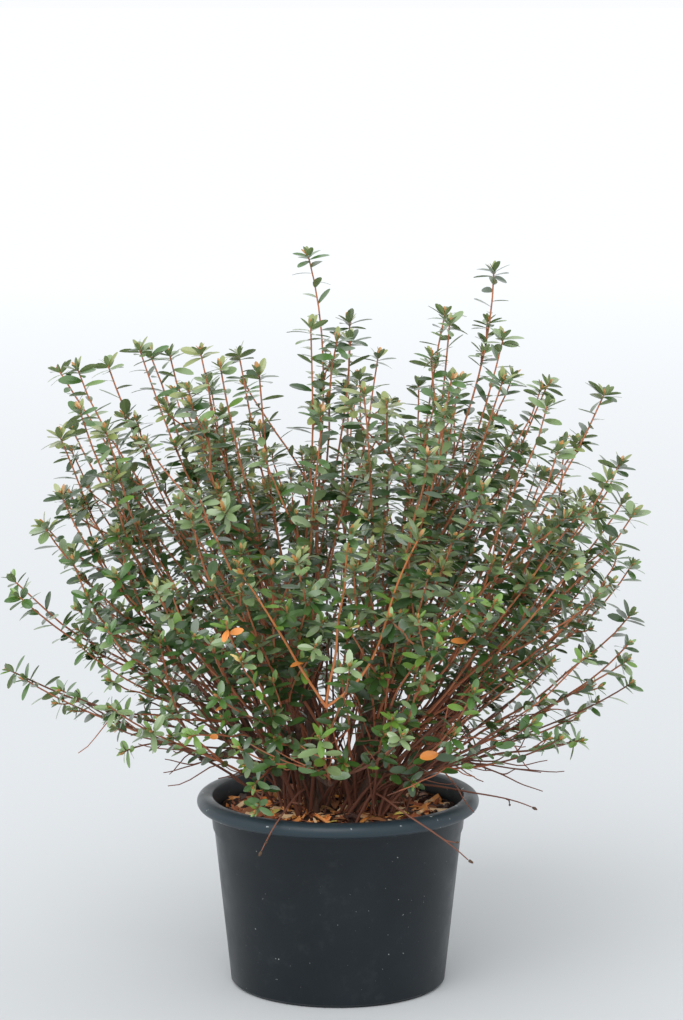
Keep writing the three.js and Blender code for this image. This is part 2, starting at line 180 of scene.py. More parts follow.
# Lengths, spacings and droops are those in the shade and in the light.
LEAF = Record(lengths=(0.0168, 0.0184), sizes=(0.86, 1.06), strong=1.15, roll=0.36, level=0.70,
              waver=0.13)
SPIRAL = Record(spacing=(0.0145, 0.0070), gaps=(0.7, 1.35), droop=(0.95, 0.40), stand=68, sway=11,
                sizes=(0.70, 1.12), ends=0.009, dark_from=0.11)
ROSETTE = Record(root=0.006, step=0.0008, stand=90, closing=34, sway=7, droop=0.1, sizes=(0.72, 1),
                 high=1.02, low=0.98)
YOUNG = Record(count=6, outer=3, root=0.001, stand=44, closing=7, sway=5, size=0.72, shrinks=0.06,
               sizes=(0.85, 1.1), low=0.9, breadth=0.85)
# The shortest and the longest leafy end of each kind of shoot.
LEAFY = {"plain": (0.07, 0.16), "long": (0.15, 0.23), "front": (0.09, 0.12),
         "side": (0.02, 0.03), "spray": (0.03, 0.05)}
# Above this height the rosettes are paler: partly their young leaves' own olive and bronze, partly
# painted light on the crown's lit top.
OLIVE_ABOVE = SOIL_LEVEL + 0.22  # where the leaves round a shoot's tip grow paler

# The headings with which the own stems of two masses arrive at their tips.
LEANING_TIPS = {"top": (185, 75), "upper_right": (60, 89)}

# Ends of dead twigs under the crown.
DEAD = Record(start=(0.45, 0.95), foot=0.0010, turn=0.7, fork=(0.4, 0.7), side=0.4,
              side_length=(0.015, 0.035))
DEAD_TWIGS = {
    "right_low": ((358, 16, 0.224), (2, 12, 0.190), (356, 5, 0.182), (350, 11, 0.205)),
    "left_low": ((185, 12, 0.158),),
    "back_right_low": ((40, 14, 0.200),),
}

# Ends of small sprays that hang low in front, some of them over the lip.
SPRAY = Record(start=(0.2, 0.45), foot=0.0010, hang=42)
LOW_SPRAYS = {
    "front_left_low": ((239, 10, 0.137), (229, 26, 0.132), (239, 31, 0.123), (234, 19, 0.128),
                       (250, 38, 0.118)),
    "front_low": ((274, 33, 0.106),),
    "front_right_low": ((303, 20, 0.125), (296, 34, 0.118)),
    "left_low": ((193, 17, 0.200),),
}

# A fork low in the crown's front, and the ends of the bright shoots that rise from it, each
# with the share by which it first bows out to the side.
FRONT_FORK = (266, 40, 0.184)
FRONT = Record(foot=0.0013, stalk=0.0022, aside=50, aside_rise=25)
FRONT_SHOOTS = {
    "front_left": ((249, 48, 0.342, 0.05),),
    "front_right": ((273, 54, 0.360, 0.05), (289, 53, 0.356, 0.55)),
}
GOLDEN_ANGLE = math.radians(137.5)
UP = Vector((0, 0, 1))
CROWN_FOOT = Vector((0, 0, SOIL_LEVEL))


# ---- paths ----
def seeded(seed):
    """Shares from 0 to 1, the same ones that place the solids' shoots."""
    state = seed
    while True:
        state = state * 16807 % 2147483647
        yield state / 2147483647


def direction(azimuth, rise):
    """The unit vector at an azimuth from +X and a rise above level, in degrees."""
    a, e = math.radians(azimuth), math.radians(rise)
    return Vector((math.cos(a) * math.cos(e), math.sin(a) * math.cos(e), math.sin(e)))


def random_vector(rng, spread):
    return Vector([rng.gauss(0, spread) for _ in range(3)])


def evenly(corners, steps):
    """The line through the corners, as points at equal lengths along it."""
    line = np.array(corners)
    lengths = np.concatenate([[0], np.cumsum(np.linalg.norm(np.diff(line, axis=0), axis=1))])
    marks = np.linspace(0, lengths[-1], steps + 1)
    return [Vector(p) for p in np.stack([np.interp(marks, lengths, axis) for axis in line.T], 1)]


def sweep(start, heading, end, arrival, steps=12):
    """A curve that leaves one point along a heading and arrives at another along a second."""
    reach = (end - start).length * SWEEP.pull
    t = np.linspace(0, 1, SWEEP.marks)[:, None]
    poles = [np.array(p) for p in (start, start + heading * reach, end - arrival * reach, end)]
    weights = ((1 - t) ** 3, 3 * t * (1 - t) ** 2, 3 * t * t * (1 - t), t**3)
    return evenly(sum(w * p for w, p in zip(weights, poles)), steps)


def at(path, share):
    """The point and the heading at a share of the path's length."""
    place = share * (len(path) - 1)
    i = min(int(place), len(path) - 2)
    return path[i].lerp(path[i + 1], place - i), (path[i + 1] - path[i]).normalized()


def length_of(path):
    return sum((b - a).length for a, b in zip(path, path[1:]))


def wavering(path, rng):
    """The path with the slight bends that a real twig has."""
    length = length_of(path)
    bend = random_vector(rng, length * WAVER.bend)
    kink = random_vector(rng, length * WAVER.kink)
    shares = np.linspace(0, 1, len(path))
    return [
        p + bend * math.sin(2 * math.pi * s) + kink * math.sin(5 * math.pi * s)
        for p, s in zip(path, shares)
    ]


def bent(chord, heading, share):
    """The heading of a chord, bent by a share towards another heading."""
    return chord.normalized().lerp(heading, share).normalized()


def stem_path(azimuth, foot, lean, height):
    foot_point = CROWN_FOOT + direction(azimuth, 0) * foot
    heading = direction(azimuth, 90 - lean)
    below = foot_point - direction(azimuth, 90 - lean * STEM.foot_lean) * STEM.buried
    return sweep(below, UP, foot_point + heading * height, heading, STEM.steps)


def bough_path(mass):
    """A bough runs from the top of its mass's stem to the place where it enters the mass."""
    tip, tangent = at(mass.stem, 1)
    leaving = tangent.lerp(mass.heading, BOUGH.turn).normalized()
    start = tip - tangent * BOUGH.sunk
    return sweep(start, leaving, mass.entry, mass.heading, BOUGH.steps)


def bare_twig_path(stem, azimuth, reach, height, crest_turn):
    """A bare twig rises from its stem to the pot's lip and falls away outside it."""
    start, _ = at(stem_path(*STEMS[stem]), BARE.start)
    crest = direction(azimuth + crest_turn, 0) * CREST.radius + UP * CREST.height
    tip = direction(azimuth, 0) * reach + UP * height
    level = (tip - start).normalized()
    rising = bent(crest - start, UP, BARE.rising)
    falling = bent(tip - crest, -UP, BARE.falling)
    return sweep(start, rising, crest, level, 10) + sweep(crest, level, tip, falling, 8)[1:]


# ---- the branching rule ----
def laid_out_masses():
    """Each mass's own stem, bough, axis and place of entry."""
    masses = {}
    for name, (stem, fullness, leaders, further) in MASSES.items():
        azimuth, rise, reach = leaders[0]
        mass = Record(name=name, fullness=fullness, leaders=leaders, further=further)
        mass.stem = stem_path(*STEMS[stem])
        mass.axis = direction(azimuth, rise)
        mass.entry = CROWN_FOOT + direction(azimuth, rise - ENTRY.lower) * (reach * ENTRY.share)
        mass.heading = direction(azimuth, rise + ENTRY.steeper)
        mass.bough = bough_path(mass)
        masses[name] = mass
    return masses


def in_own_space(mass, masses, point, margin):
    """True if the point lies in the mass's own cone, clear of its neighbours."""
    arm = point - CROWN_FOOT
    for other in masses.values():
        apart = mass.axis - other.axis
        if other is not mass and arm.dot(apart) <= margin * apart.length:
            return False
    return True


def crown_reach(heading):
    """How far the crown reaches that way: far over its shoulders, less low down."""
    rise = math.degrees(math.asin(heading.z))
    share = (rise - CROWN.low_rise) / (CROWN.shoulder_rise - CROWN.low_rise)
    share = min(1, max(0, share))
    share *= share * (3 - 2 * share)
    return between(CROWN.reach, share) * (1 - DEPTH_LOSS * heading.y * heading.y)


def in_notch(point, notch):
    return notch.left < point.x < notch.right and point.z > notch.top


def light_at(height):
    """From 0 in the shade under the crown to 1 in full light."""
    return min(1, max(0, (height - SHADE.low) / (SHADE.high - SHADE.low)))


def between(ends, share):
    """The value at a share of the way between two ends, also for an array of shares."""
    return ends[0] + (ends[1] - ends[0]) * share


def tip_at(azimuth, rise, reach):
    return CROWN_FOOT + direction(azimuth, rise) * (reach - TIP_INSET)


def tips_of(mass, masses, draw):
    """Where the shoots end, and whether each is a long one: the leaders, the solids' other
    tips, the further long shoots, then many between them."""
    tips = [(tip_at(*values), True) for values in mass.leaders]
    fine = round(between(FINE_COUNT, light_at(tips[0][0].z) ** 2) * mass.fullness)
    further = [(tip_at(*values), True) for values in mass.further]
    longest = max(reach for _, _, reach in mass.leaders)
    for rule, extra, count, farthest in (
            (COARSE_TIPS, [], COARSE_COUNT, 1),
            (FINE_TIPS, further, fine + len(further), longest)):
        tips += extra
        for _ in range(TRIES):
            if len(tips) >= count:
                break
            scatter = Vector([next(draw) - 0.5 for _ in range(3)])
            heading = (mass.axis + scatter * SCATTER).normalized()
            share = rule.nearest + rule.span * next(draw)
            tip = CROWN_FOOT + heading * (min(farthest, crown_reach(heading) * share) - TIP_INSET)
            if tip.z <= LOWEST_TIP or in_notch(tip, rule.notch):
                continue
            if min((other - tip).length for other, _ in tips) <= rule.spacing:
                continue
            if in_own_space(mass, masses, tip, rule.margin):
                tips.append((tip, False))
    return [(tip + (tip - CROWN_FOOT).normalized() * TIP_REGAIN, long) for tip, long in tips]


def twig_path(start, heading, tip, turn, arrival=None):
    """A twig turns off from the heading that it starts with, and turns upwards as it grows,
    more so high in the crown."""
    chord = (tip - start).normalized()
    leaving = heading.lerp(chord, turn).normalized()
    upturn = between(SHOOT.upturn, light_at(tip.z))
    return sweep(start, leaving, tip, arrival or chord.lerp(UP, upturn).normalized())


def new_twig(path, rng, foot=SHOOT.foot, parent=None, kind="plain"):
    """A twig's path, how many twigs it carries, the radius of its foot, and how bright and
    warm its wood is."""
    bright = kind != "bare" and (kind != "plain" or rng.random() < SHOOT.bright)
    return Record(path=path, carries=1, parent=parent, foot=foot, kind=kind, bright=bright,
                  warm=rng.random() < SHOOT.warm)


def basal_path(mass, tip, rng):
    """The path of a long shoot that grows to its tip straight from the clump's foot."""
    foot = mass.stem[0] + random_vector(rng, BASAL.spread)
    foot.z = SOIL_LEVEL - BASAL.sunk
    leaving = bent(tip - foot, UP, rng.uniform(*BASAL.upright))
    return wavering(sweep(foot, leaving, tip, bent(tip - foot, UP, BASAL.upturn), 20), rng)


def front_shoots(mass, rng):
    """The bright shoots that rise from the fork in the crown's front, and its stalk."""
    fork = CROWN_FOOT + direction(*FRONT_FORK[:2]) * FRONT_FORK[2]
    twigs = []
    for *values, bow in FRONT_SHOOTS.get(mass.name, ()):
        tip = tip_at(*values)
        outward = direction(values[0] + FRONT.aside, FRONT.aside_rise)
        leaving, arriving = bent(tip - fork, outward, bow), bent(tip - fork, UP, bow / 2)
        path = wavering(sweep(fork, leaving, tip, arriving, 16), rng)
        twigs.append(new_twig(path, rng, FRONT.foot, kind="front"))
    if mass.name == "front_right":
        twigs.append(new_twig(basal_path(mass, fork, rng), rng, FRONT.stalk, kind="bare"))
    return twigs


def dead_twigs(mass, rng):
    """Thin leafless twigs that stick out under the crown, each with a side twig."""
    twigs = []
    for values in DEAD_TWIGS.get(mass.name, ()):
        point, heading = at(mass.bough, rng.uniform(*DEAD.start))
        tip = tip_at(*values) + direction(*values[:2]) * TIP_INSET
        path = wavering(twig_path(point, heading, tip, DEAD.turn), rng)
        twigs.append(new_twig(path, rng, DEAD.foot, kind="bare"))
        fork, heading = at(path, rng.uniform(*DEAD.fork))
        side = (heading + random_vector(rng, DEAD.side)).normalized()
        path = sweep(fork, heading, fork + side * rng.uniform(*DEAD.side_length), side, 6)
        twigs.append(new_twig(path, rng, SPUR.foot, kind="bare"))
    return twigs


def low_sprays(mass, rng):
    """Small shoots that arch outwards from low on the mass's bough and hang at their tips."""
    twigs = []
    for azimuth, rise, reach in LOW_SPRAYS.get(mass.name, ()):
        point, heading = at(mass.bough, rng.uniform(*SPRAY.start))
        tip = CROWN_FOOT + direction(azimuth, rise) * reach
        hanging = direction(azimuth, rise - SPRAY.hang)
        path = wavering(sweep(point, heading, tip, hanging, 14), rng)
        twigs.append(new_twig(path, rng, SPRAY.foot, kind="spray"))
    return twigs


def side_shoots(twigs, rng):
    """Short leafy shoots that stand close along the ends of the long ones."""
    shoots = []
    for parent in [twig for twig in twigs if twig.kind == "long"]:
        length = length_of(parent.path)
        for back in SIDE.back:
            back *= rng.uniform(*SIDE.shift)
            if rng.random() > SIDE.share or back > length * SIDE.farthest:
                continue
            point, heading = at(parent.path, 1 - back / length)
            side = (heading + random_vector(rng, SIDE.turn)).normalized()
            tip = point + side * rng.uniform(*SIDE.length)
            path = sweep(point, heading, tip, heading, 4)
            shoots.append(new_twig(path, rng, SPUR.foot, kind="side"))
    return shoots


def spurs_on(twigs, rng):
    """Short leafless twigs, on the shaded stretches of the longer shoots."""
    spurs = []
    for parent in twigs:
        for _ in range(SPUR.count):
            point, heading = at(parent.path, rng.uniform(*SPUR.start))
            if length_of(parent.path) < SPUR.parent or light_at(point.z) > SPUR.light:
                continue
            side = (heading + random_vector(rng, SPUR.turn)).normalized()
            tip = point + side * rng.uniform(*SPUR.length)
            rising = side.lerp(UP, SPUR.upturn).normalized()
            path = wavering(sweep(point, heading, tip, rising, 6), rng)
            spurs.append(new_twig(path, rng, SPUR.foot, kind="bare"))
    return spurs


def best_fork(twigs, root, tip, long):
    """The place on these twigs, its heading and its twig, from which a shoot has the
    shortest, straightest way to a tip."""
    best = None
    for parent in twigs:
        for share in FORKS:
            point, heading = at(parent.path, share)
            chord = tip - point
            straight = chord.normalized().dot(heading)
            cost = chord.length * (1 + COST.turn * (1 - straight) ** 2)
            cost += (COST.far_up_long if long else COST.far_up) * (point - root).length
            if best is None or cost < best[0]:
                best = (cost, point, heading, parent)
    return best[1:]


def branched(mass, tips, rng):
    """The mass's own stem runs to its first tip. Each further tip, near ones first, gets a
    shoot from the best fork on an earlier limb, or now and then one straight from the clump."""
    bough = new_twig(mass.bough, rng)
    arrival = direction(*LEANING_TIPS[mass.name]) if mass.name in LEANING_TIPS else None
    path = twig_path(mass.entry, mass.heading, tips[0][0], 0, arrival)
    twigs = [bough, new_twig(path, rng, kind="long")]
    for tip, long in sorted(tips[1:], key=lambda pair: (pair[0] - mass.entry).length):
        if not long and rng.random() < BASAL.share:
            path = basal_path(mass, tip, rng)
            foot = BASAL.foot * rng.uniform(*BASAL.strength)
            twigs.append(new_twig(path, rng, foot))
            continue
        point, heading, parent = best_fork(twigs, mass.bough[0], tip, long)
        if (tip - point).length < SHORTEST_SHOOT:
            continue
        path = wavering(twig_path(point, heading, tip, SHOOT.turn), rng)
        if long:
            twigs.append(new_twig(path, rng, SHOOT.long_foot, parent, "long"))
        else:
            twigs.append(new_twig(path, rng, parent=parent))
        while parent:
            parent.carries += 1
            parent = parent.parent
    twigs = twigs[1:] + front_shoots(mass, rng)
    twigs += side_shoots(twigs, rng) + low_sprays(mass, rng)
    return twigs + spurs_on(twigs, rng) + dead_twigs(mass, rng)


# ---- meshes ----
def added(name, data):
    """A new object of the scene that carries the data."""
    thing = bpy.data.objects.new(name, data)
    bpy.context.collection.objects.link(thing)
    return thing


def piece(name, mesh, materials, slot, *nodes):
    """A finished mesh as a piece of the model, which stands for these nodes of the solids."""
    for material in materials:
        mesh.materials.append(material)
    shown = added(name, mesh)
    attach(shown, "root")
    if nodes:
        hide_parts(*nodes)


def tubes(name, lines, roundness):
    """One mesh of round tapering tubes. A line is its points, their radii and the index of
    its material, which clearing the curve's empty slots would reset."""
    curve = bpy.data.curves.new(name, "CURVE")
    curve.dimensions = "3D"
    curve.bevel_depth = 0.001
    curve.bevel_resolution = roundness
    curve.use_fill_caps = True
    for _ in range(1 + max(material for _, _, material in lines)):
        curve.materials.append(None)
    for points, radii, material in lines:
        spline = curve.splines.new("POLY")
        spline.points.add(len(points) - 1)
        spline.points.foreach_set("co", [c for p in points for c in (*p, 1)])
        spline.points.foreach_set("radius", [r / curve.bevel_depth for r in radii])
        spline.material_index = material
        spline.use_smooth = True
    carrier = bpy.data.objects.new(name, curve)
    mesh = bpy.data.meshes.new_from_object(carrier)
    tints = np.zeros(len(mesh.polygons), np.int32)
    mesh.polygons.foreach_get("material_index", tints)
    mesh.materials.clear()
    mesh.polygons.foreach_set("material_index", tints)
    bpy.data.objects.remove(carrier)
    bpy.data.curves.remove(curve)
    return mesh


LEAF_SHARP = 20  # edges of leaves and buds that turn by more degrees stay sharp


def scattered(name, shape, places, sharp=LEAF_SHARP):
    """One mesh of many copies of a small shape. A place is its root, its three axes as rows,
    with their lengths, and the index of its material."""
    points, corners, below = shape
    roots = np.array([p[0] for p in places])
    axes = np.array([p[1] for p in places])
    tints = np.array([p[2] for p in places])
    moved = roots[:, None, :] + np.einsum("vk,nkj->nvj", points, axes)
    faces = corners[None] + (np.arange(len(places)) * len(points))[:, None, None]
    mesh = bpy.data.meshes.new(name)
    mesh.from_pydata(moved.reshape(-1, 3), [], faces.reshape(-1, 3))
    slots = np.where(below[None, :], 0, tints[:, None])
    mesh.polygons.foreach_set("material_index", slots.ravel().astype(np.int32))
    mesh.shade_smooth()
    mesh.set_sharp_from_angle(angle=math.radians(sharp))
    mesh.update()
    return mesh


def joined(name, parts):
    """Several meshes of leaves as one."""
    whole = bmesh.new()
    for part in parts:
        whole.from_mesh(part)
        bpy.data.meshes.remove(part)
    mesh = bpy.data.meshes.new(name)
    whole.to_mesh(mesh)
    whole.free()
    mesh.set_sharp_from_angle(angle=math.radians(LEAF_SHARP))
    return mesh


def arrays_of(shape, under=()):
    """A shape as arrays of its points, its triangles and whether a triangle is one of the
    under faces, which take the first material."""
    for face in shape.faces:
        face.material_index = 0 if face in under else 1
    bmesh.ops.triangulate(shape, faces=shape.faces[:])
    shape.verts.index_update()
    points = np.array([v.co[:] for v in shape.verts])
    corners = np.array([[v.index for v in f.verts] for f in shape.faces])
    below = np.array([f.material_index == 0 for f in shape.faces])
    shape.free()
    return points, corners, below


def leaf_shape(arch, fold, width):
    """A leaf one unit long from the origin along +Y, its upper face up +Z: a folded, arched
    sheet and its underside, joined round the rim."""
    widest, blunt, rise = 1.2, 0.55, 0.35  # the outline's two powers, and the arch's first rise
    shape = bmesh.new()
    bmesh.ops.create_grid(shape, x_segments=2, y_segments=6, size=0.5)
    for v in shape.verts:
        t = 0.5 - 0.5 * math.cos(math.pi * (v.co.y + 0.5))
        half = 0.5 * width * max(0, math.sin(math.pi * t**widest)) ** blunt
        x = 2 * v.co.x * half
        v.co = (x, t, fold * abs(x) - arch * t * t + rise * arch * t)
    sheet = shape.verts[:] + shape.edges[:] + shape.faces[:]
    under = bmesh.ops.duplicate(shape, geom=sheet)["geom"]
    faces = [g for g in under if isinstance(g, bmesh.types.BMFace)]
    bmesh.ops.reverse_faces(shape, faces=faces)
    for v in under:
        if isinstance(v, bmesh.types.BMVert) and not v.is_boundary:
            v.co.z -= LEAF_THICKNESS
    bmesh.ops.remove_doubles(shape, verts=shape.verts[:], dist=1e-5)
    return arrays_of(shape, faces)


def bud_shape():
    """A pointed bud one unit long from the origin along +Y."""
    shape = bmesh.new()
    bmesh.ops.create_icosphere(shape, subdivisions=1, radius=0.5)
    for v in shape.verts:
        v.co = (v.co.x * (1 - 0.5 * v.co.y), v.co.y + 0.5, v.co.z * (1 - 0.5 * v.co.y))
    return arrays_of(shape)


# ---- materials ----
def principled(name, colour, roughness, **sockets):
    """A material of plain values. An underscore in a socket's name stands for a space."""
    material = bpy.data.materials.new(name)
    material.use_nodes = True
    shader = material.node_tree.nodes["Principled BSDF"]
    shader.inputs["Base Color"].default_value = (*colour, 1)
    shader.inputs["Roughness"].default_value = roughness
    for socket, value in sockets.items():
        shader.inputs[socket.replace("_", " ")].default_value = value
    return material


class Pattern:
    """Adds nodes to a material, all reading the piece's own Object coordinates."""

    def __init__(self, material):
        self.tree = material.node_tree
        self.shader = self.tree.nodes["Principled BSDF"]
        self.places = self.node("TexCoord").outputs["Object"]

    def give(self, socket, value):
        """Sets a socket to a value or links it to another node's output."""
        if isinstance(value, bpy.types.NodeSocket):
            self.tree.links.new(value, socket)
        else:
            socket.default_value = value

    def node(self, kind, **inputs):
        node = self.tree.nodes.new("ShaderNode" + kind)
        for name, value in inputs.items():
            self.give(node.inputs[name], value)
        return node

    def stretched(self, scale):
        return self.node("Mapping", Scale=scale, Vector=self.places).outputs["Vector"]

    def noise(self, scale, detail=4, roughness=0.55, places=None):
        node = self.node("TexNoise", Scale=scale, Detail=detail, Roughness=roughness,
                         Vector=places or self.places)
        return node.outputs["Fac"]

    def height(self):
        return self.node("SeparateXYZ", Vector=self.places).outputs["Z"]

    def distance(self, scale):
        """How far a place is from the origin, as a share of the scale."""
        node = self.node("VectorMath", Vector=self.stretched((1 / scale,) * 3))
        node.operation = "LENGTH"
        return node.outputs["Value"]

    def ramp(self, value, *stops):
        """A ramp over a value, with stops of a place and a colour or a grey."""
        node = self.node("ValToRGB", Fac=value)
        marks = node.color_ramp.elements
        while len(marks) < len(stops):
            marks.new(0.5)
        for mark, (place, colour) in zip(marks, stops):
            mark.position = place
            mark.color = (*colour, 1) if isinstance(colour, tuple) else (colour,) * 3 + (1,)
        return node.outputs["Color"]

    def mix(self, share, below, above):
        """One colour under a share of another. Each is a node's output or plain."""
        node = self.tree.nodes.new("ShaderNodeMix")
        node.data_type = "RGBA"
        self.give(node.inputs["Factor"], share)
        for name, colour in zip(("A", "B"), (below, above)):
            socket = [i for i in node.inputs if i.name == name and i.type == "RGBA"][0]
            self.give(socket, (*colour, 1) if isinstance(colour, tuple) else colour)
        return [o for o in node.outputs if o.type == "RGBA"][0]

    def colour(self, source):
        self.give(self.shader.inputs["Base Color"], source)

    def roughness(self, source):
        self.give(self.shader.inputs["Roughness"], source)

    def bump(self, height, distance, strength=0.6):
        node = self.node("Bump", Distance=distance, Strength=strength, Height=height)
        self.give(self.shader.inputs["Normal"], node.outputs["Normal"])


def pot_plastic():
    """Matt black plastic, dusty in places, and paler round the lip: partly wear, partly a painted
    highlight.
    """
    material = principled("pot_plastic", (0.004, 0.006, 0.008), 0.40, Specular_IOR_Level=0.34)
    p = Pattern(material)
    bloom = p.ramp(p.noise(9, 5), (0.35, (0.0030, 0.0064, 0.0095)),
                   (0.75, (0.0064, 0.0118, 0.0165)))
    dust = p.ramp(p.noise(60, 6, 0.7), (0.56, 0.0), (0.8, 0.4))
    dusty = p.mix(dust, bloom, (0.030, 0.036, 0.040))
    # The lip is painted paler: partly wear, partly a painted highlight along the rim.
    lip = p.ramp(p.height(), (POT_HIGH.z - 0.017, 0.0), (POT_HIGH.z - 0.010, 0.85))
    worn_and_highlit = p.mix(lip, dusty, (0.026, 0.044, 0.056))
    specks = p.ramp(p.noise(420, 2, 0.4), (0.765, 0.0), (0.80, 0.7))
    speckled = p.mix(specks, worn_and_highlit, (0.55, 0.57, 0.57))
    splashes = p.mix(lip, (0, 0, 0), p.ramp(p.noise(130, 2, 0.5), (0.715, 0.0), (0.745, 1.0)))
    p.colour(p.mix(splashes, speckled, (0.62, 0.66, 0.68)))
    p.roughness(p.ramp(p.noise(30, 5), (0.3, 0.28), (0.7, 0.46)))
    p.bump(p.noise(700, 3), 0.0002, 0.35)
    return material


def bark():
    """Brown bark in lengthwise strips, grey in places."""
    material = principled("bark", (0.09, 0.045, 0.03), 0.85)
    p = Pattern(material)
    along = p.stretched((1, 1, 0.3))
    strips = p.noise(260, 6, 0.65, along)
    colour = p.ramp(strips, (0.3, (0.026, 0.013, 0.009)), (0.55, (0.095, 0.046, 0.029)),
                    (0.78, (0.24, 0.120, 0.072)))
    grey = p.ramp(p.noise(35, 4), (0.5, 0.0), (0.75, 0.4))
    p.colour(p.mix(grey, colour, (0.15, 0.11, 0.085)))
    p.bump(strips, 0.0006, 0.8)
    return material


def potting_mix():
    """Dark crumbs of peat with paler fibres."""
    material = principled("potting_mix", (0.03, 0.02, 0.014), 0.95)
    p = Pattern(material)
    crumbs = p.noise(320, 8, 0.7)
    p.colour(p.ramp(crumbs, (0.30, (0.009, 0.005, 0.004)), (0.52, (0.040, 0.019, 0.012)),
                    (0.72, (0.20, 0.085, 0.042))))
    p.bump(crumbs, 0.0015, 0.9)
    return material


# Leaf tints and their roughness. The first is that of the undersides.
LEAF_TINTS = {
    "leaf_pale": ((0.205, 0.272, 0.112), 0.46),
    # A dark leaf tone that also stands for painted shade deep in the crown.
    "leaf_dark": ((0.024, 0.066, 0.012), 0.30),
    "leaf_mid": ((0.062, 0.148, 0.027), 0.31),
    # A grey-green leaf tone that also stands for painted sheen on the leaf tops.
    "leaf_grey": ((0.210, 0.302, 0.130), 0.33),
    "leaf_fresh": ((0.140, 0.268, 0.036), 0.36),
    "leaf_olive": ((0.245, 0.290, 0.088), 0.38),
    "leaf_bronze": ((0.470, 0.235, 0.060), 0.42),
    "leaf_turned": ((0.740, 0.260, 0.050), 0.48),
    "leaf_yellow": ((0.840, 0.640, 0.260), 0.48),
}
TINT_NAMES = list(LEAF_TINTS)
COAT = {"Coat_Weight": 0.85, "Coat_Roughness": 0.24}

# Places in the crown where leaves have turned: azimuth, rise, reach, how many, and their tint.
TURNED = {
    "front_left": ((246, 39, 0.294, 2, "leaf_turned"), (247, 39, 0.278, 2, "leaf_yellow"),
                   (251, 44, 0.210, 1, "leaf_yellow"), (258, 42, 0.241, 1, "leaf_turned"),
                   (241, 31, 0.243, 1, "leaf_turned")),
    "front_left_low": ((236, 32, 0.207, 1, "leaf_turned"),),
    "front_right": ((305, 45, 0.246, 1, "leaf_turned"), (275, 45, 0.277, 1, "leaf_yellow")),
    "front_right_low": ((296, 24, 0.189, 1, "leaf_turned"),),
}

# Twig tints and their roughness. The browner ones also stand for painted shade low in the crown.
TWIG_TINTS = {
    "young_twig": ((0.440, 0.150, 0.065), 0.50),
    "dull_and_shade_twig": ((0.370, 0.128, 0.056), 0.58),
    "ripe_and_shade_twig": ((0.355, 0.114, 0.049), 0.65),
    "old_and_shade_twig": ((0.165, 0.060, 0.034), 0.80),
    "bright_twig": ((0.560, 0.190, 0.062), 0.45),
}
WOOD_NAMES = list(TWIG_TINTS)


# ---- foliage ----
def wood_tint(twig, point, to_tip):
    """Wood is orange at a bright shoot's end, browner down it where older, and painted browner low
    down as shade.
    """
    if twig.kind == "front":
        return "bright_twig"
    if point.z < WOOD.dark_below:
        return "old_and_shade_twig"
    if point.z < WOOD.old_below or to_tip > WOOD.old_from:
        return "ripe_and_shade_twig" if twig.warm else "old_and_shade_twig"
    if point.z < WOOD.ripe_below or to_tip > WOOD.ripe_from:
        return "dull_and_shade_twig" if twig.warm else "ripe_and_shade_twig"
    return "dull_and_shade_twig" if to_tip > WOOD.dull_from or not twig.bright else "young_twig"


def skinned(twig):
    """A twig as lines of one tint each, with their points and radii."""
    path = twig.path
    foot = twig.foot * twig.carries ** SHOOT.pipe
    radii = np.linspace(foot, SHOOT.tip, len(path))
    if twig.kind == "bare":
        radii *= np.linspace(1, BARE.thin, len(path))
    to_tip = np.linspace(length_of(path), 0, len(path))
    tints = [WOOD_NAMES.index(wood_tint(twig, p, d)) for p, d in zip(path, to_tip)]
    lines, first = [], 0
    for i in range(1, len(path)):
        if tints[i] != tints[first] or i == len(path) - 1:
            lines.append((path[first:i + 1], radii[first:i + 1], tints[first]))
            first = i
    return lines


def leaf_axes(heading, angle, spread, droop, size, rng):
    """The axes of a leaf that stands off a shoot's heading by a spread in degrees, its upper
    face turned to the light. The droop is the share of its slope that it loses."""
    side = heading.orthogonal().normalized()
    outward = Quaternion(heading, angle) @ side
    lean = math.radians(spread)
    axis = heading * math.cos(lean) + outward * math.sin(lean)
    axis.z *= 1 - droop
    axis = (axis + random_vector(rng, LEAF.waver)).normalized()
    face = heading * math.sin(lean) - outward * math.cos(lean) + UP * LEAF.level
    across = Quaternion(axis, rng.gauss(0, LEAF.roll)) @ axis.cross(face).normalized()
    return np.array([across, axis, across.cross(axis)]) * size


